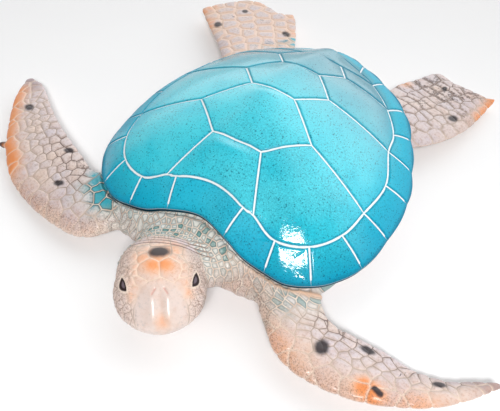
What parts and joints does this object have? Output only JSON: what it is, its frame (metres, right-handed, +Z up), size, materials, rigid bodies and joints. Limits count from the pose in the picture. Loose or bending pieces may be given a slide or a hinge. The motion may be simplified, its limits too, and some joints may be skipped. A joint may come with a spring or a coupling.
{
  "type": "sea turtle figurine",
  "caption": "Cast resin sea turtle with spread flippers, a domed carapace of grooved scutes and a head turned to its left, resting on a flat belly.",
  "frame": {"origin": "middle of the flat oval underside that it rests on", "axes": "+Z up, the head looks along -Y and turns towards +X, +X is the turtle's left, -Y is the front and +Y is the tail"},
  "size_m": [0.34, 0.2724, 0.069],
  "materials": {
    "painted_resin": "cast resin painted by hand: glossy turquoise carapace with fine dark speckles and white seams, cream and orange skin with scale grooves, clear coat all over"
  },
  "bodies": {
    "root": {"sea_turtle": "painted_resin"}
  },
  "joints": []
}
